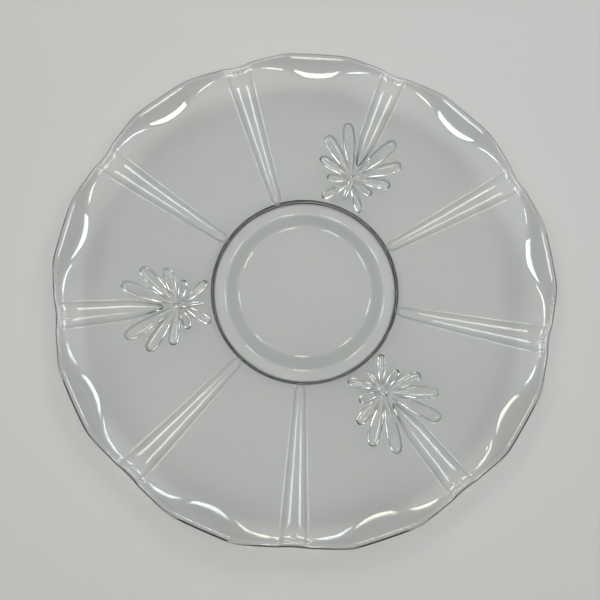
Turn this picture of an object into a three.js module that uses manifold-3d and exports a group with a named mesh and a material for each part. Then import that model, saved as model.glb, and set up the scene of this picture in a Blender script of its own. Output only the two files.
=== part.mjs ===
// Pressed-glass torte plate, one piece of clear glass.
// Scooped panels run from the foot ring out to a lip, which turns up along an arch in each panel.
// A half-round rib under the glass parts each pair of panels, and some ribs start from a leaf spray.
// Millimetres, +Z up, origin on the table under the centre, one rib along -Y.

import * as THREE from 'three';
import { mergeVertices } from 'three/addons/utils/BufferGeometryUtils.js';
import Module from 'manifold-3d';

// Plate
const plateDiameter = 356; // across the corners of the rim
const plateHeight = 28; // table to the top of the rim
const glassThickness = 4.6; // of the panels and the floor over the foot ring
const panelCount = 9;
const firstRibAngle = 30; // degrees from +X

// Rim and panels
const ribEndInset = 3.2; // the flats at the rib ends lie this far inside the corners
const cornerRounding = 1; // how far the rounded corners lie inside the sharp ones
const lipDepth = 12; // turned-up lip in the middle of a panel, measured towards the centre
const lipDepthAtRib = 2;
const lipSlope = 0.75; // rise that the lip adds for each millimetre outwards
const lipBend = 3; // how softly the lip leaves the panel
const floorPower = 1.7; // how late the panel starts to rise

// Foot ring
const footDiameter = 135; // outer edge of the face that stands on the table
const footHeight = 5;
const footContactWidth = 8.5;
const footDraft = 0.8; // extra radius where the ring meets the panels
const footEdge = 0.6; // chamfer of the ring's outer edge
const coveWidth = 10.4; // sloping side of the recess inside the ring
const recessDepth = 3.5;

// Ribs
const ribEndWidth = 20; // at the rim
const ribHeight = 3; // at the rim
const ribInnerHeight = 1.6; // at the foot ring
const ribRunIn = 6; // length of a rib's rounded inner end

// Leaf sprays
const sprayCount = 3;
const sprayRibStart = 34; // rib of a spray, measured from the start of the panels
const sprayRibTaper = 24; // length over which that rib widens from its point
const leafRelief = 2;
const stem = { along: 3, lean: 0, length: 25, width: 3.6 };
const leafPairs = [
  { along: 25, lean: 27, length: 42.5, width: 8.8 },
  { along: 25, lean: 52, length: 38.5, width: 8.4 },
  { along: 25, lean: 78, length: 29, width: 7.4 },
  { along: 24, lean: 106, length: 18.5, width: 5.6 },
  { along: 22, lean: 141, length: 24.5, width: 5.8 },
]; // along from the start of the panels, lean in degrees from outwards
const leafBluntness = 0.35; // nearer nothing, a blunter tip

// Fineness of the facets
const ribShares = [0, 0.55]; // from a rib's ridge towards its side
const stepsToCorner = 3; // from a rib's side to the rim's corner
const stepsToMiddle = 3; // from that corner to the middle of the panel
const floorShares = [0, 0.22, 0.46, 0.68, 0.87, 1];
const lipShares = [0, 0.4, 1];
const bendShare = 0.4; // of the lip's depth, where the bend starts inside the crease
const capAngles = [45, 90, 135];
const leafSteps = 5;
const leafSides = 8;
const slopeStep = 0.05; // millimetres, for measuring a slope

const degree = Math.PI / 180;
const pitch = (2 * Math.PI) / panelCount;
const halfPitch = pitch / 2;
const rimRadius = plateDiameter / 2;
const sharpRadius = rimRadius + cornerRounding;
const ribFlat = rimRadius - ribEndInset; // from the axis to the flat at a rib's end
const cornerAngle = Math.acos(ribFlat / sharpRadius); // from a rib to the rim's corner
const panelFlat = sharpRadius * Math.cos(halfPitch - cornerAngle);
const ribHalfAngle = Math.asin(ribEndWidth / 2 / ribFlat);
const footRadius = footDiameter / 2;
const contactInner = footRadius - footContactWidth;
const recessRadius = contactInner - coveWidth;
const panelStart = footRadius + footDraft;
const halfGlass = glassThickness / 2;
const middleHeight = footHeight + halfGlass; // of the surface halfway through the glass
const middleRise = plateHeight - glassThickness - footHeight;

const sprayRibs = [];
for (let spray = 0; spray < sprayCount; spray += 1) {
  sprayRibs.push(Math.round(1 + (spray * panelCount) / sprayCount) % panelCount);
}

const ribAngle = (rib) => firstRibAngle * degree + rib * pitch;
const clampToOne = (value) => Math.min(1, Math.max(0, value));

function nearestRib(angle) {
  const turns = Math.round((angle - ribAngle(0)) / pitch);
  return ((turns % panelCount) + panelCount) % panelCount;
}

function angleFromRib(angle) {
  const turns = (angle - ribAngle(0)) / pitch;
  return Math.abs(turns - Math.round(turns)) * pitch;
}

// The rim in plan: a flat across each rib's end and a flat across each panel, with rounded corners.
function outlineRadius(offset) {
  const toRibFlat = ribFlat / Math.cos(offset);
  const toPanelFlat = panelFlat / Math.cos(halfPitch - offset);
  const middle = (toRibFlat + toPanelFlat) / 2;
  return middle - Math.hypot((toRibFlat - toPanelFlat) / 2, cornerRounding);
}

// Height of a half-round rib under the glass, from its ridge down to nothing at its sides and end.
function ribRelief(radius, angle) {
  const hasSpray = sprayRibs.includes(nearestRib(angle));
  const start = panelStart + (hasSpray ? sprayRibStart : 0);
  const widened = hasSpray ? Math.sqrt(clampToOne((radius - start) / sprayRibTaper)) : 1;
  const across = angleFromRib(angle) / Math.max(ribHalfAngle * widened, 1e-6);
  const short = clampToOne(1 - (radius - start) / ribRunIn);
  const grown = (radius - panelStart) / (ribFlat - panelStart);
  const height = ribInnerHeight + (ribHeight - ribInnerHeight) * grown;
  return height * clampToOne(1 - across ** 2 - short ** 2);
}

// Radius where the middle surface ends, so that the rounded rim just reaches the outline.
function rimMiddle(angle) {
  return outlineRadius(angleFromRib(angle)) - halfGlass - ribRelief(ribFlat, angle) / 2;
}

// Depth of the lip: deep in the middle of a panel, shallow at the ribs.
function lipAt(angle) {
  const share = clampToOne((angleFromRib(angle) - ribHalfAngle) / (halfPitch - ribHalfAngle));
  return lipDepthAtRib + (lipDepth - lipDepthAtRib) * Math.sin((share * Math.PI) / 2) ** 2;
}

const softRamp = (run) => (run + Math.hypot(run, lipBend)) / 2;

// The surface halfway through the glass: flat centre, slowly rising floor, turned-up lip, level rim.
function middleZ(radius, angle) {
  if (radius <= panelStart) {
    return middleHeight;
  }
  const rim = rimMiddle(angle);
  const lip = lipAt(angle);
  const floorRise = middleRise - lipSlope * softRamp(lip);
  const share = (radius - panelStart) / (rim - panelStart);
  return middleHeight + floorRise * share ** floorPower + lipSlope * softRamp(radius - rim + lip);
}

function middleSlope(radius, angle) {
  return (middleZ(radius + slopeStep, angle) - middleZ(radius - slopeStep, angle)) / (2 * slopeStep);
}

// Radii at which the panel is cut into facets along one direction.
function stationRadii(angle) {
  const lip = lipAt(angle);
  const crease = rimMiddle(angle) - lip;
  const floorStart = panelStart + ribRunIn;
  const floorEnd = crease - bendShare * lip;
  const floor = floorShares.map((share) => floorStart + share * (floorEnd - floorStart));
  return [panelStart, ...floor, ...lipShares.map((share) => crease + share * lip)];
}

// Half a cross-section of the plate, from the axis over the top, round the rim and back underneath.
function halfSection(angle) {
  const top = [];
  const under = [];
  let along = new THREE.Vector2(1, 0);
  for (const radius of stationRadii(angle)) {
    along = new THREE.Vector2(1, middleSlope(radius, angle)).normalize();
    const out = new THREE.Vector2(-along.y, along.x);
    const middle = new THREE.Vector2(radius, middleZ(radius, angle));
    top.push(middle.clone().addScaledVector(out, halfGlass));
    under.push(middle.clone().addScaledVector(out, -halfGlass - ribRelief(radius, angle)));
  }
  const rimTop = top.at(-1);
  const rimUnder = under.at(-1);
  const capMiddle = rimTop.clone().add(rimUnder).multiplyScalar(0.5);
  const capHalf = rimTop.clone().sub(rimUnder).multiplyScalar(0.5);
  const cap = capAngles.map((turn) =>
    capMiddle
      .clone()
      .addScaledVector(capHalf, Math.cos(turn * degree))
      .addScaledVector(along, halfGlass * Math.sin(turn * degree)),
  );
  const foot = [
    new THREE.Vector2(footRadius, footEdge),
    new THREE.Vector2(footRadius - footEdge, 0),
    new THREE.Vector2(contactInner, 0),
    new THREE.Vector2(recessRadius, recessDepth),
  ];
  return [...top, ...cap, ...under.reverse(), ...foot];
}

// Directions of the cross-sections: both sides and the ridge of each rib, the corners, the middles.
function sectionAngles() {
  const half = ribShares.map((share) => share * ribHalfAngle);
  for (let step = 0; step < stepsToCorner; step += 1) {
    half.push(ribHalfAngle + ((cornerAngle - ribHalfAngle) * step) / stepsToCorner);
  }
  for (let step = 0; step < stepsToMiddle; step += 1) {
    half.push(cornerAngle + ((halfPitch - cornerAngle) * step) / stepsToMiddle);
  }
  const mirrored = half.slice(1).reverse().map((offset) => pitch - offset);
  const panel = [...half, halfPitch, ...mirrored];
  const angles = [];
  for (let rib = 0; rib < panelCount; rib += 1) {
    angles.push(...panel.map((offset) => ribAngle(rib) + offset));
  }
  return angles;
}

// Joins the cross-sections all the way round into one closed surface.
function plateBody() {
  const angles = sectionAngles();
  const rows = halfSection(angles[0]).length;
  const positions = [0, 0, middleHeight + halfGlass, 0, 0, recessDepth];
  for (const angle of angles) {
    for (const point of halfSection(angle)) {
      positions.push(point.x * Math.cos(angle), point.x * Math.sin(angle), point.y);
    }
  }
  const topCentre = 0;
  const underCentre = 1;
  const corner = (column, row) => 2 + (column % angles.length) * rows + row;
  const faces = [];
  for (let column = 0; column < angles.length; column += 1) {
    const next = column + 1;
    faces.push(topCentre, corner(column, 0), corner(next, 0));
    faces.push(underCentre, corner(next, rows - 1), corner(column, rows - 1));
    for (let row = 0; row < rows - 1; row += 1) {
      faces.push(corner(column, row), corner(column, row + 1), corner(next, row + 1));
      faces.push(corner(column, row), corner(next, row + 1), corner(next, row));
    }
  }
  const body = new THREE.BufferGeometry();
  body.setAttribute('position', new THREE.Float32BufferAttribute(positions, 3));
  body.setIndex(faces);
  return body;
}

// A point on the underside of the glass, ribs left out.
function undersidePoint(x, y) {
  const radius = Math.hypot(x, y);
  const angle = Math.atan2(y, x);
  const fall = halfGlass * Math.hypot(1, middleSlope(radius, angle));
  return new THREE.Vector3(x, y, middleZ(radius, angle) - fall);
}

function undersideNormal(x, y) {
  const here = undersidePoint(x, y);
  const alongX = undersidePoint(x + slopeStep, y).sub(here);
  const alongY = undersidePoint(x, y + slopeStep).sub(here);
  return alongX.cross(alongY).normalize();
}

// Width of a leaf along its length, as a share of its greatest: a point at the stem, a round tip.
function leafWidth(share) {
  const widest = 1 / (1 + leafBluntness);
  const taper = (at) => at * (1 - at) ** leafBluntness;
  return taper(share) / taper(widest);
}

// A leaf revolved about its length, flattened, and laid on the underside.
function leafBody(leaf, side, sprayAngle) {
  const profile = [];
  for (let step = 0; step <= leafSteps; step += 1) {
    const share = Math.sin((step / leafSteps) * (Math.PI / 2));
    const halfWidth = step === leafSteps ? 0 : (leaf.width / 2) * leafWidth(share);
    profile.push(new THREE.Vector2(halfWidth, share * leaf.length));
  }
  const body = new THREE.LatheGeometry(profile, leafSides);
  body.scale(1, 1, leafRelief / (leaf.width / 2));
  const lean = leaf.lean * degree * side;
  const base = new THREE.Vector2(panelStart + leaf.along, 0);
  const tip = new THREE.Vector2(Math.cos(lean), Math.sin(lean)).multiplyScalar(leaf.length).add(base);
  const axis = new THREE.Vector2();
  base.rotateAround(axis, sprayAngle);
  tip.rotateAround(axis, sprayAngle);
  const from = undersidePoint(base.x, base.y);
  const length = undersidePoint(tip.x, tip.y).sub(from).normalize();
  const normal = undersideNormal((base.x + tip.x) / 2, (base.y + tip.y) / 2);
  const width = length.clone().cross(normal).normalize();
  const depth = width.clone().cross(length);
  body.applyMatrix4(new THREE.Matrix4().makeBasis(width, length, depth).setPosition(from));
  return body;
}

const wasm = await Module();
wasm.setup();

function toSolid(geometry) {
  const bare = geometry.clone();
  bare.deleteAttribute('normal');
  bare.deleteAttribute('uv');
  const merged = mergeVertices(bare);
  const faces = merged.index.array;
  const kept = [];
  for (let face = 0; face < faces.length; face += 3) {
    const [a, b, c] = faces.slice(face, face + 3);
    if (a !== b && b !== c && c !== a) {
      kept.push(a, b, c);
    }
  }
  const vertProperties = new Float32Array(merged.attributes.position.array);
  return new wasm.Manifold(new wasm.Mesh({ numProp: 3, vertProperties, triVerts: new Uint32Array(kept) }));
}

function toGeometry(solid) {
  const mesh = solid.getMesh();
  const geometry = new THREE.BufferGeometry();
  geometry.setAttribute('position', new THREE.BufferAttribute(mesh.vertProperties, 3));
  geometry.setIndex(new THREE.BufferAttribute(mesh.triVerts, 1));
  geometry.computeVertexNormals();
  return geometry;
}

let glass = toSolid(plateBody());
for (const rib of sprayRibs) {
  glass = glass.add(toSolid(leafBody(stem, 1, ribAngle(rib))));
  for (const leaf of leafPairs) {
    for (const side of [-1, 1]) {
      glass = glass.add(toSolid(leafBody(leaf, side, ribAngle(rib))));
    }
  }
}

const clearGlass = new THREE.MeshStandardMaterial({
  color: 0xe4ebe9,
  roughness: 0.04,
  metalness: 0,
  transparent: true,
  opacity: 0.35,
});

const plate = new THREE.Mesh(toGeometry(glass), clearGlass);
plate.name = 'plate';

const tortePlate = new THREE.Group();
tortePlate.add(plate);

export default tortePlate;
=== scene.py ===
import math
import bpy
import numpy as np
from mathutils import Matrix, Vector


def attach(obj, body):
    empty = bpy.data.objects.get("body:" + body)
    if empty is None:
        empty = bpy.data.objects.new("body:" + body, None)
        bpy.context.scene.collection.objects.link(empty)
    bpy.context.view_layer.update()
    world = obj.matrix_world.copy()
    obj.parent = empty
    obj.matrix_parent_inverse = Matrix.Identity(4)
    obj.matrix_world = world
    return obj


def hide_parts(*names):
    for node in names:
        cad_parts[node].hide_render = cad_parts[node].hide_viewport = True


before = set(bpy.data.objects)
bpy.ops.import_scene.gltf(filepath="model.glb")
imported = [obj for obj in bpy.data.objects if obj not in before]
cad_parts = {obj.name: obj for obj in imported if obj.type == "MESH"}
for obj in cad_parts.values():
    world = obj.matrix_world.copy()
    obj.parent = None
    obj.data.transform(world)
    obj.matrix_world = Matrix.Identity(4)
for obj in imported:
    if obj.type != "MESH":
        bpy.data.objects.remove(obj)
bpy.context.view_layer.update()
print("frame loaded, nodes:", list(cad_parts))

plateShape = {
    "rimRadius": 0.178,  # to the rounded corners of the rim, metres
    "height": 0.028,
    "glass": 0.0046,  # thickness of the panels
    "panels": 9,
    "firstRib": 30.0,  # degrees from +X
    "ribEndInset": 0.0032,
    "cornerRounding": 0.001,
    "lipDepth": 0.012,  # turned-up lip, middle of a panel
    "lipDepthAtRib": 0.002,
    "lipSlope": 0.75,
    "lipBend": 0.003,
    "floorPower": 1.7,
}
footShape = {
    "radius": 0.0675,  # outer edge of the standing face
    "height": 0.005,
    "contactWidth": 0.0085,
    "draft": 0.0008,
    "coveWidth": 0.0104,
    "recessDepth": 0.0035,
    "softness": 0.0007,  # rounding of its edges
    "join": 0.00075,  # how far its line starts out under the panels
}
ribShape = {
    "endWidth": 0.020,
    "height": 0.003,
    "innerHeight": 0.0016,
    "runIn": 0.006,  # length of the rounded inner end
}
sprayShape = {
    "ribs": (1, 4, 7),
    "ribStart": 0.034,  # where the rib goes on from the leaves
    "ribTaper": 0.024,  # length over which it widens from its point
    "ribPoint": 1e-6,  # square of the share of its width at the point
    "reach": 0.066,  # from the start of the panels to the last leaf tip
    "relief": 0.0020,
    "bluntness": 0.35,  # of the leaf tips
    "edge": 0.4,  # nearer nothing, a steeper side to the leaves
    "fullness": 1.3,  # above one, full relief before the widest place
    # along the stem, lean from outwards in degrees, length, width
    "stem": (0.003, 0, 0.025, 0.0036),
    "leafPairs": (
        (0.025, 27, 0.0425, 0.0088),
        (0.025, 52, 0.0385, 0.0084),
        (0.025, 78, 0.029, 0.0074),
        (0.024, 106, 0.0185, 0.0056),
        (0.022, 141, 0.0245, 0.0058),
    ),
}
plateGrid = {
    "plainFine": (3.6, 8), "plainCoarse": 9,  # degrees each side of a rib, steps there, steps beyond
    "sprayFine": (17.0, 52), "sprayCoarse": 2,
    "discRows": 3, "topFloorRows": 14, "lipRows": 12, "capRows": 7,
    "leafRows": 104, "outerFloorRows": 8, "footRows": 26, "recessRows": 3,
    "lipReach": 1.5,  # lip depths inside the rim where the close rows start
    "lineSamples": 4001, "slopeStep": 2e-5, "leastNormal": 1e-15,
    "paintedShadeShares": (0, 0.5, 0.5, 0.5, 2.2, 0),  # share of the lean painted as shade: disc, top, rim, underside, foot, recess
}

pitch = 2 * math.pi / plateShape["panels"]
ribFlat = plateShape["rimRadius"] - plateShape["ribEndInset"]
sharpRadius = plateShape["rimRadius"] + plateShape["cornerRounding"]
cornerAngle = math.acos(ribFlat / sharpRadius)
panelFlat = sharpRadius * math.cos(pitch / 2 - cornerAngle)
ribHalfAngle = math.asin(ribShape["endWidth"] / 2 / ribFlat)
panelStart = footShape["radius"] + footShape["draft"]
halfGlass = plateShape["glass"] / 2
middleLevel = footShape["height"] + halfGlass  # height of the surface halfway through the glass
wellLevel = middleLevel + halfGlass  # height of the flat centre
middleRise = plateShape["height"] - plateShape["glass"] - footShape["height"]


# angle to the nearest rib: what is left of the angle after whole panels, without its sign
def ribOffset(angle):
    turns = (angle - math.radians(plateShape["firstRib"])) / pitch
    return np.abs(turns - np.round(turns)) * pitch


# rim in plan: the smaller of two flats, across a rib's end and across a panel, with the corner rounded
def outlineRadius(offset):
    toRib = ribFlat / np.cos(offset)
    toPanel = panelFlat / np.cos(pitch / 2 - offset)
    return (toRib + toPanel) / 2 - np.hypot((toRib - toPanel) / 2, plateShape["cornerRounding"])


# rib under the glass: half-round, its height times one minus the squared shares across and past its end
def ribRelief(radius, angle):
    turns = (angle - math.radians(plateShape["firstRib"])) / pitch
    rib = np.round(turns).astype(int) % plateShape["panels"]
    spray = np.isin(rib, sprayShape["ribs"])
    start = panelStart + spray * sprayShape["ribStart"]
    widened = np.sqrt(np.clip((radius - start) / sprayShape["ribTaper"], sprayShape["ribPoint"], 1))
    across = ribOffset(angle) / (ribHalfAngle * np.where(spray, widened, 1))
    short = np.clip(1 - (radius - start) / ribShape["runIn"], 0, 1)
    grown = (radius - panelStart) / (ribFlat - panelStart)
    height = ribShape["innerHeight"] + (ribShape["height"] - ribShape["innerHeight"]) * grown
    return height * np.clip(1 - across ** 2 - short ** 2, 0, 1)


# where the middle surface ends: the outline less half the glass and half the rib
def rimMiddle(angle):
    return outlineRadius(ribOffset(angle)) - halfGlass - ribRelief(ribFlat, angle) / 2


# lip depth: from its value at the ribs to its value in mid panel along a squared sine
def lipAt(angle):
    share = np.clip((ribOffset(angle) - ribHalfAngle) / (pitch / 2 - ribHalfAngle), 0, 1)
    gain = plateShape["lipDepth"] - plateShape["lipDepthAtRib"]
    return plateShape["lipDepthAtRib"] + gain * np.sin(share * math.pi / 2) ** 2


# smooth step from nothing to a straight ramp: half of the run plus its hypotenuse with the bend
def softRamp(run):
    return (run + np.hypot(run, plateShape["lipBend"])) / 2


# middle surface: a power curve for the panel floor plus a soft ramp for the lip, ending at a level rim
def middleHeight(radius, angle):
    rim, lip = rimMiddle(angle), lipAt(angle)
    floorRise = middleRise - plateShape["lipSlope"] * softRamp(lip)
    share = np.clip((radius - panelStart) / (rim - panelStart), 0, None)
    lipRise = plateShape["lipSlope"] * softRamp(radius - rim + lip)
    lift = floorRise * share ** plateShape["floorPower"] + lipRise
    return middleLevel + lift * (radius > panelStart)


# relief of one leaf: width is share times a low power of one minus share, section a steep-sided pillow
def leafRelief(x, y, leaf, side):
    along, lean, length, width = leaf
    turn = math.radians(lean) * side
    dx = x - panelStart - along
    share = (dx * math.cos(turn) + y * math.sin(turn)) / length
    across = y * math.cos(turn) - dx * math.sin(turn)
    blunt = sprayShape["bluntness"]
    widest = (1 / (1 + blunt)) * (blunt / (1 + blunt)) ** blunt
    half = share * np.clip(1 - share, 0, 1) ** blunt / widest  # 1 where the leaf is widest
    inside = (share > 0) & (share < 1)
    ratio = across / np.where(inside, half * width / 2, 1)
    pillow = np.clip(1 - ratio ** 2, 0, 1) ** sprayShape["edge"]
    swell = np.minimum(1, sprayShape["fullness"] * half)
    return np.where(inside, sprayShape["relief"] * swell * pillow, 0)


# all sprays: the highest of every leaf, each worked out in its own spray's axes
def sprayRelief(radius, angle):
    relief = np.zeros_like(radius)
    for rib in sprayShape["ribs"]:
        turn = angle - math.radians(plateShape["firstRib"]) - rib * pitch
        x, y = radius * np.cos(turn), radius * np.sin(turn)
        relief = np.maximum(relief, leafRelief(x, y, sprayShape["stem"], 1))
        for leaf in sprayShape["leafPairs"]:
            for side in (-1, 1):
                relief = np.maximum(relief, leafRelief(x, y, leaf, side))
    return relief


# even samples of a broken line, each the mean of the line within softness either side
def softLine(corners, softness, count):
    corners = np.array(corners, float)
    reach = np.concatenate([[0], np.cumsum(np.linalg.norm(np.diff(corners, axis=0), axis=1))])
    fine = np.linspace(0, reach[-1], plateGrid["lineSamples"])
    line = np.stack([np.interp(fine, reach, corners[:, k]) for k in (0, 1)], axis=1)
    total = np.concatenate([[[0, 0]], np.cumsum((line[1:] + line[:-1]) / 2 * fine[1], axis=0)])
    at = np.linspace(0, reach[-1], count)
    window = np.minimum(np.minimum(at, reach[-1] - at), softness)
    low, high = at - window, at + window
    mean = [np.interp(high, fine, total[:, k]) - np.interp(low, fine, total[:, k]) for k in (0, 1)]
    whole = np.stack([np.interp(at, fine, line[:, k]) for k in (0, 1)], axis=1)
    width = np.where(window > 0, 2 * window, 1)
    return np.where(window[:, None] > 0, np.stack(mean, axis=1) / width[:, None], whole)


# angles of the columns: fine steps round each rib, finer and wider round a spray, coarse between
def columnAngles():
    angles = []
    for rib in range(plateShape["panels"]):
        kind = "spray" if rib in sprayShape["ribs"] else "plain"
        fineTo, fineSteps = plateGrid[kind + "Fine"]
        fine = np.linspace(0, math.radians(fineTo), fineSteps + 1)
        coarse = np.linspace(math.radians(fineTo), pitch / 2, plateGrid[kind + "Coarse"] + 1)[1:]
        half = np.concatenate([fine, coarse])
        offsets = np.concatenate([-half[::-1], half[1:-1]])
        angles.append(math.radians(plateShape["firstRib"]) + rib * pitch + offsets)
    return np.concatenate(angles)


# radii along a panel: even to the spray's end, even on to the bend, then closer through the lip
def panelRadii(angle, innerRows, outerRows):
    lip = lipAt(angle)
    rim = rimMiddle(angle)
    sprayEnd = panelStart + sprayShape["reach"]
    bendStart = rim - plateGrid["lipReach"] * lip
    inner = np.linspace(0, 1, innerRows, endpoint=False)[:, None]
    outer = np.linspace(0, 1, outerRows, endpoint=False)[:, None]
    last = np.linspace(0, 1, plateGrid["lipRows"])[:, None]
    return np.concatenate([
        panelStart + inner * (sprayEnd - panelStart) + 0 * angle,
        sprayEnd + outer * (bendStart - sprayEnd),
        bendStart + last * (rim - bendStart),
    ])


# middle surface and its slope along the radius, as unit vectors along and out of the section
def sectionFrame(radius, angle):
    step = plateGrid["slopeStep"]
    slope = (middleHeight(radius + step, angle) - middleHeight(radius - step, angle)) / (2 * step)
    size = np.hypot(1, slope)
    return middleHeight(radius, angle), 1 / size, slope / size


# lean of the relief: one minus the cosine of its slope, by differences along the radius and round the axis
def reliefLean(relief, radius, angle):
    outward = np.gradient(relief, axis=0) / np.gradient(radius, axis=0)
    turn = np.mod(np.roll(angle, -1) - np.roll(angle, 1), 2 * math.pi)
    sideways = (np.roll(relief, -1, axis=1) - np.roll(relief, 1, axis=1)) / (radius * turn)
    return 1 - 1 / np.sqrt(1 + outward ** 2 + sideways ** 2)


# lean of the surface: one minus the upright part of its unit normal, by differences along and across rows
def surfaceLean(rows):
    across = np.gradient(rows, axis=0)
    along = np.roll(rows, -1, axis=1) - np.roll(rows, 1, axis=1)
    normal = np.cross(across, along)
    size = np.maximum(np.linalg.norm(normal, axis=-1), plateGrid["leastNormal"])
    return 1 - np.abs(normal[..., 2]) / size


# the plate: half a section from the axis over the top, round the rim and back under, at every angle
def plateRows():
    angle = columnAngles()[None, :]
    flat = np.ones_like(angle)
    topShare = plateGrid["topFloorRows"] // 2
    radius = panelRadii(angle, topShare, plateGrid["topFloorRows"] - topShare)
    height, run, rise = sectionFrame(radius, angle)
    top = np.stack([radius - halfGlass * rise, height + halfGlass * run], axis=-1)
    low = panelRadii(angle, plateGrid["leafRows"], plateGrid["outerFloorRows"])
    height, run, rise = sectionFrame(low, angle)
    depth = halfGlass + ribRelief(low, angle) + sprayRelief(low, low * 0 + angle)
    under = np.stack([low + depth * rise, height - depth * run], axis=-1)
    turn = np.linspace(0, math.pi, plateGrid["capRows"] + 2)[1:-1, None, None]
    capMiddle, capHalf = (top[-1] + under[-1]) / 2, (top[-1] - under[-1]) / 2
    forward = halfGlass * np.stack([run[-1], rise[-1]], axis=-1)
    cap = capMiddle + capHalf * np.cos(turn) + forward * np.sin(turn)
    contactInner = footShape["radius"] - footShape["contactWidth"]
    recess = contactInner - footShape["coveWidth"]
    corners = [
        (panelStart + footShape["join"], footShape["height"]), (panelStart, footShape["height"]),
        (footShape["radius"], 0), (contactInner, 0), (recess, footShape["recessDepth"]),
        (recess - footShape["coveWidth"], footShape["recessDepth"]),
    ]
    footLine = softLine(corners, footShape["softness"], plateGrid["footRows"])[1:]
    foot = footLine[:, None, :] * flat[..., None]
    disc = np.linspace(0, 1, plateGrid["discRows"] + 1, endpoint=False)[1:, None]
    topDisc = np.stack([disc * panelStart * flat, wellLevel * flat + 0 * disc], axis=-1)
    inward = np.linspace(1, 0, plateGrid["recessRows"] + 1, endpoint=False)[1:, None]
    ceiling = footShape["recessDepth"] * flat + 0 * inward
    recessRows = np.stack([inward * footLine[-1, 0] * flat, ceiling], axis=-1)
    blocks = [topDisc, top, cap, under[::-1], foot, recessRows]
    rows = np.concatenate(blocks)
    around = np.broadcast_to(angle, rows.shape[:2])
    points = np.stack([rows[..., 0] * np.cos(around), rows[..., 0] * np.sin(around), rows[..., 1]], axis=-1)
    # painted shade mask: lean of the surface times its share for each block, raised to the lean of the
    # relief under the glass
    shares = np.repeat(plateGrid["paintedShadeShares"], [len(block) for block in blocks])[:, None]
    tone = surfaceLean(points) * shares
    first = len(topDisc) + len(top) + len(cap)
    below = slice(first, first + len(under))
    flanks = reliefLean(depth - halfGlass, low, angle)[::-1]
    tone[below] = np.maximum(tone[below], flanks)
    return points, tone


# closed mesh from rows of points round the axis: quads between rows, a fan to a pole at each end
def meshFromRows(name, rows, tone, topPole, underPole):
    rowCount, columnCount = rows.shape[:2]
    points = np.concatenate([rows.reshape(-1, 3), [topPole, underPole]])
    index = np.arange(rowCount * columnCount).reshape(rowCount, columnCount)
    after = np.roll(index, -1, axis=1)
    quads = np.stack([index[:-1], index[1:], after[1:], after[:-1]], axis=-1).reshape(-1, 4)
    poleTop = np.full(columnCount, len(points) - 2)
    poleUnder = np.full(columnCount, len(points) - 1)
    fans = np.concatenate([
        np.stack([poleTop, index[0], after[0]], axis=1),
        np.stack([poleUnder, after[-1], index[-1]], axis=1),
    ])
    mesh = bpy.data.meshes.new(name)
    mesh.vertices.add(len(points))
    mesh.vertices.foreach_set("co", points.ravel())
    corners = np.concatenate([quads.ravel(), fans.ravel()])
    mesh.loops.add(len(corners))
    mesh.loops.foreach_set("vertex_index", corners)
    sizes = np.concatenate([np.full(len(quads), 4), np.full(len(fans), 3)])
    mesh.polygons.add(len(sizes))
    mesh.polygons.foreach_set("loop_start", np.concatenate([[0], np.cumsum(sizes)[:-1]]))
    mesh.polygons.foreach_set("use_smooth", np.ones(len(sizes), bool))
    mesh.update(calc_edges=True)
    mesh.validate()
    # the painted shade mask goes on the points as the lean attribute, which greys the glass colour
    lean = mesh.attributes.new("lean", "FLOAT", "POINT")
    lean.data.foreach_set("value", np.append(tone.ravel(), [0, 0]))
    return mesh


class Wire:
    # one output socket; sums and products of wires and numbers add Math nodes to its tree
    def __init__(self, tree, socket=None):
        self.tree = tree
        self.socket = socket

    # any node: its type, its settings first, then values or wires for its sockets
    def node(self, kind, settings=None, sockets=None, out=0):
        made = self.tree.nodes.new(kind)
        for key, value in (settings or {}).items():
            setattr(made, key, value)
        for key, value in (sockets or {}).items():
            if isinstance(value, Wire):
                self.tree.links.new(value.socket, made.inputs[key])
            else:
                made.inputs[key].default_value = value
        return Wire(self.tree, made.outputs[out] if made.outputs else None)

    # a Math node on two wires or numbers
    def maths(self, operation, first, second):
        return self.node("ShaderNodeMath", {"operation": operation}, {0: first, 1: second})

    def __add__(self, other):
        return self.maths("ADD", self, other)

    def __radd__(self, other):
        return self.maths("ADD", other, self)

    def __mul__(self, other):
        return self.maths("MULTIPLY", self, other)

    def __rmul__(self, other):
        return self.maths("MULTIPLY", other, self)


# an empty node material and the wire that starts its tree
def newMaterial(name):
    material = bpy.data.materials.new(name)
    material.use_nodes = True
    material.node_tree.nodes.clear()
    return material, Wire(material.node_tree)


glassFinish = {
    "tint": (0.985, 0.995, 0.99, 1),
    "ior": 1.5,
    "haze": (0.955, 0.97, 0.965, 1), "hazeRough": 0.03,  # faint film of use
    "filmScale": 9.0, "filmDetail": 4.0, "filmBreak": 0.6, "filmFrom": (0.5, 0.75),
    "footRough": 0.28, "wornHeight": 0.0004,  # standing face
    "scratchScale": 900.0, "scratchDetail": 2.0,
    "crease": (0.46, 0.485, 0.48, 1), "creaseRough": 0.05,  # painted shade: grey base colour on the steep sides so they read darker, and its roughness there
    "creaseFrom": (0.01, 0.25),  # lean at which that starts and is full
    "rippleScale": 26.0, "rippleDetail": 1.0, "rippleDepth": 0.00006,
    "shadowTint": (0.36, 0.37, 0.37, 1),  # light that each face lets through to the floor
}
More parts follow.
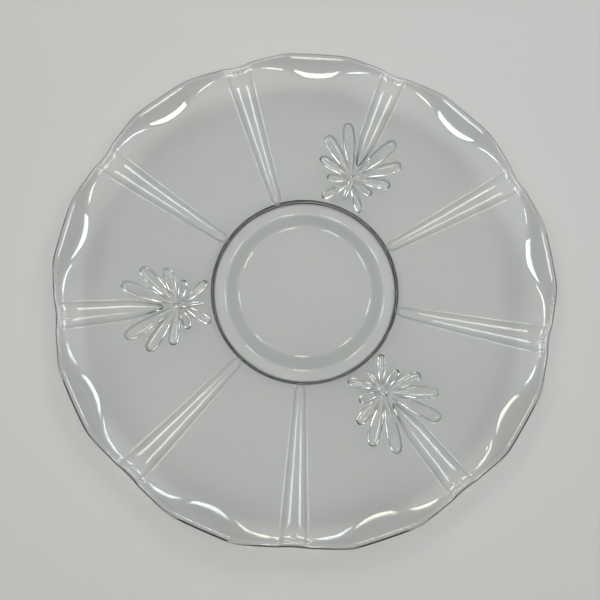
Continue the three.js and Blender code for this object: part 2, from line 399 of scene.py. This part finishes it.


# glass: clear base colour with a clouded film and painted shade, grey where the surface leans, rough
# where the foot is worn; lamps reach the floor through it by a tinted transparent shader
def clearGlass():
    material, wire = newMaterial("clearPressedGlass")
    spot = wire.node("ShaderNodeTexCoord", out="Object")
    depth = wire.node("ShaderNodeSeparateXYZ", None, {0: spot}, out=2)
    cloud = wire.node("ShaderNodeTexNoise", None, {
        "Vector": spot, "Scale": glassFinish["filmScale"], "Detail": glassFinish["filmDetail"],
        "Roughness": glassFinish["filmBreak"]})
    film = wire.node("ShaderNodeMapRange", {"interpolation_type": "SMOOTHSTEP"}, {
        "Value": cloud, "From Min": glassFinish["filmFrom"][0], "From Max": glassFinish["filmFrom"][1]})
    scratch = wire.node("ShaderNodeTexNoise", None, {
        "Vector": spot, "Scale": glassFinish["scratchScale"], "Detail": glassFinish["scratchDetail"]})
    worn = wire.node("ShaderNodeMapRange", None, {
        "Value": depth, "From Min": 0.0, "From Max": glassFinish["wornHeight"],
        "To Min": 1.0, "To Max": 0.0})
    # painted shade: where the lean attribute is high, the base colour goes grey so steep sides read darker
    lean = wire.node("ShaderNodeAttribute", {"attribute_name": "lean"}, out="Fac")
    crease = wire.node("ShaderNodeMapRange", {"interpolation_type": "SMOOTHSTEP"}, {
        "Value": lean, "From Min": glassFinish["creaseFrom"][0], "From Max": glassFinish["creaseFrom"][1]})
    roughness = (film * glassFinish["hazeRough"] + crease * glassFinish["creaseRough"]
                 + worn * (scratch * glassFinish["footRough"]))
    colour = wire.node("ShaderNodeMix", {"data_type": "RGBA"},
                       {"Factor": film, 6: glassFinish["tint"], 7: glassFinish["haze"]}, out=2)
    colour = wire.node("ShaderNodeMix", {"data_type": "RGBA"},
                       {"Factor": crease, 6: colour, 7: glassFinish["crease"]}, out=2)
    ripple = wire.node("ShaderNodeTexNoise", None, {
        "Vector": spot, "Scale": glassFinish["rippleScale"], "Detail": glassFinish["rippleDetail"]})
    bump = wire.node("ShaderNodeBump", None,
                     {"Strength": 1.0, "Distance": glassFinish["rippleDepth"], "Height": ripple})
    shader = wire.node("ShaderNodeBsdfPrincipled", None, {
        "Base Color": colour, "Roughness": roughness, "Normal": bump,
        "IOR": glassFinish["ior"], "Transmission Weight": 1.0})
    through = wire.node("ShaderNodeBsdfTransparent", None, {"Color": glassFinish["shadowTint"]})
    shadow = wire.node("ShaderNodeLightPath", out="Is Shadow Ray")
    mixed = wire.node("ShaderNodeMixShader", None, {0: shadow, 1: shader, 2: through})
    wire.node("ShaderNodeOutputMaterial", None, {"Surface": mixed})
    return material


plateMesh = meshFromRows("plateGlass", *plateRows(), (0, 0, wellLevel), (0, 0, footShape["recessDepth"]))
plateMesh.materials.append(clearGlass())
plateGlass = bpy.data.objects.new("plateGlass", plateMesh)
bpy.context.scene.collection.objects.link(plateGlass)
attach(plateGlass, "root")
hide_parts("plate")
print("plate of glass:", len(plateMesh.loops) - 2 * len(plateMesh.polygons), "triangles")


stageLook = {
    "floorSize": 12.0,
    "floorGap": 0.0003,
    "floorColour": (0.50, 0.50, 0.50, 1),
    "floorShade": (0.48, 0.48, 0.482, 1),
    "cloudScale": 3.0, "cloudDetail": 2.0, "floorRough": 0.9, "floorGloss": 0.1,
    "backdrop": (0.545, 0.54, 0.53, 1),  # as bright as the lit floor
    "fade": (0.36, 0.85),  # metres from the middle, from lit floor to backdrop
    "ceiling": (0.15, 0.155, 0.16, 1),
    "ceilingFrom": (0.42, 0.80),  # rise of the view ray, from backdrop to ceiling
    "worldLight": 0.25,
}


# rays that show the background: seen by the camera, in a reflection or through glass
def seenRays(wire):
    camera = wire.node("ShaderNodeLightPath", out="Is Camera Ray")
    rays = camera.socket.node.outputs
    total = camera + Wire(wire.tree, rays["Is Glossy Ray"]) + Wire(wire.tree, rays["Is Transmission Ray"])
    return wire.node("ShaderNodeClamp", None, {"Value": total})


# square floor: a lit matt surface that goes over to the backdrop colour with distance from the middle
def paleFloor():
    half = stageLook["floorSize"] / 2
    mesh = bpy.data.meshes.new("paleFloor")
    drop = -stageLook["floorGap"]
    corners = [(-half, -half, drop), (half, -half, drop), (half, half, drop), (-half, half, drop)]
    mesh.from_pydata(corners, [], [(0, 1, 2, 3)])
    material, wire = newMaterial("paleFloor")
    spot = wire.node("ShaderNodeTexCoord", out="Object")
    cloud = wire.node("ShaderNodeTexNoise", None, {
        "Vector": spot, "Scale": stageLook["cloudScale"], "Detail": stageLook["cloudDetail"]})
    colour = wire.node("ShaderNodeMix", {"data_type": "RGBA"},
                       {"Factor": cloud, 6: stageLook["floorColour"], 7: stageLook["floorShade"]}, out=2)
    shader = wire.node("ShaderNodeBsdfPrincipled", None, {
        "Base Color": colour, "Roughness": stageLook["floorRough"],
        "Specular IOR Level": stageLook["floorGloss"]})
    distance = wire.node("ShaderNodeVectorMath", {"operation": "LENGTH"}, {0: spot}, out="Value")
    far = wire.node("ShaderNodeMapRange", {"interpolation_type": "SMOOTHSTEP"}, {
        "Value": distance, "From Min": stageLook["fade"][0], "From Max": stageLook["fade"][1]})
    backdrop = wire.node("ShaderNodeEmission", None, {"Color": stageLook["backdrop"], "Strength": 1.0})
    mixed = wire.node("ShaderNodeMixShader", None, {0: far * seenRays(wire), 1: shader, 2: backdrop})
    wire.node("ShaderNodeOutputMaterial", None, {"Surface": mixed})
    mesh.materials.append(material)
    floor = bpy.data.objects.new("paleFloor", mesh)
    bpy.context.scene.collection.objects.link(floor)


# surroundings: backdrop colour up to a height, a darker ceiling above, plain white for the light itself
def studioWorld():
    world = bpy.data.worlds.new("studioWorld")
    world.use_nodes = True
    world.node_tree.nodes.clear()
    bpy.context.scene.world = world
    wire = Wire(world.node_tree)
    spot = wire.node("ShaderNodeTexCoord", out="Generated")
    height = wire.node("ShaderNodeSeparateXYZ", None, {0: spot}, out=2)
    climb = wire.node("ShaderNodeMapRange", {"interpolation_type": "SMOOTHSTEP"}, {
        "Value": height, "From Min": stageLook["ceilingFrom"][0], "From Max": stageLook["ceilingFrom"][1]})
    colour = wire.node("ShaderNodeMix", {"data_type": "RGBA"},
                       {"Factor": climb, 6: stageLook["backdrop"], 7: stageLook["ceiling"]}, out=2)
    shown = wire.node("ShaderNodeBackground", None, {"Color": colour, "Strength": 1.0})
    light = wire.node("ShaderNodeBackground", None,
                      {"Color": (1, 1, 1, 1), "Strength": stageLook["worldLight"]})
    mixed = wire.node("ShaderNodeMixShader", None, {0: seenRays(wire), 1: light, 2: shown})
    wire.node("ShaderNodeOutputWorld", None, {"Surface": mixed})


softboxes = {
    "distance": 1.35, "size": (0.17, 0.42),
    "tones": {"day": (0.89, 0.95, 1), "lamp": (1, 0.92, 0.78)},
    # bearing and elevation in degrees, power, tone; each is mirrored in two ribs
    "boxes": (
        (6, 53, 2.4, "day"), (44, 49, 2.3, "day"), (73, 48, 2.3, "day"),
        (101, 48, 2.1, "lamp"), (136, 52, 2.3, "lamp"), (173, 54, 2.4, "day"),
        (220, 57, 2.5, "day"), (272, 60, 2.3, "lamp"), (325, 57, 2.5, "lamp"),
    ),
}


# lamps: each on a sphere round the plate at its bearing and elevation, turned to the middle
def studioLights():
    for number, (bearing, elevation, power, tone) in enumerate(softboxes["boxes"]):
        lamp = bpy.data.lights.new("softbox%d" % number, "AREA")
        lamp.shape = "RECTANGLE"
        lamp.size, lamp.size_y = softboxes["size"]
        lamp.energy = power
        lamp.color = softboxes["tones"][tone]
        turn, rise = math.radians(bearing), math.radians(elevation)
        ray = Vector((math.cos(turn) * math.cos(rise), math.sin(turn) * math.cos(rise), math.sin(rise)))
        holder = bpy.data.objects.new(lamp.name, lamp)
        faced = (-ray).to_track_quat("-Z", "Y").to_matrix().to_4x4()
        holder.matrix_world = Matrix.Translation(ray * softboxes["distance"]) @ faced
        bpy.context.scene.collection.objects.link(holder)


photoView = {
    "distance": 0.40, "tilt": 9.4, "side": -96.7,  # degrees off vertical, direction of the tilt
    "roll": 2.75,  # degrees that the photograph is turned against the plate's axes
    "aim": (-0.0037, -0.0081, 0.010),
    "focal": 549.0,  # photograph pixels
    "width": 600.0,
    "sensor": 36.0, "clip": (0.01, 50.0),
}


# camera: a distance from the aim along a line tilted off the vertical, the whole then rolled about the axis
def photoCamera():
    tilt, side = math.radians(photoView["tilt"]), math.radians(photoView["side"])
    back = Vector((math.sin(tilt) * math.cos(side), math.sin(tilt) * math.sin(side), math.cos(tilt)))
    right = Vector((0, 1, 0)).cross(back).normalized()
    up = back.cross(right)
    aim = Vector(photoView["aim"])
    turn = Matrix((right, up, back)).transposed().to_4x4()
    lens = bpy.data.cameras.new("photoCamera")
    lens.sensor_width = photoView["sensor"]
    lens.lens = photoView["focal"] / photoView["width"] * lens.sensor_width
    lens.clip_start, lens.clip_end = photoView["clip"]
    holder = bpy.data.objects.new("photoCamera", lens)
    placed = Matrix.Translation(aim + back * photoView["distance"]) @ turn
    holder.matrix_world = Matrix.Rotation(math.radians(photoView["roll"]), 4, "Z") @ placed
    bpy.context.scene.collection.objects.link(holder)
    bpy.context.scene.camera = holder


paleFloor()
studioWorld()
studioLights()
photoCamera()
bpy.context.scene.view_settings.view_transform = "Standard"
print("stage, lights and camera set")
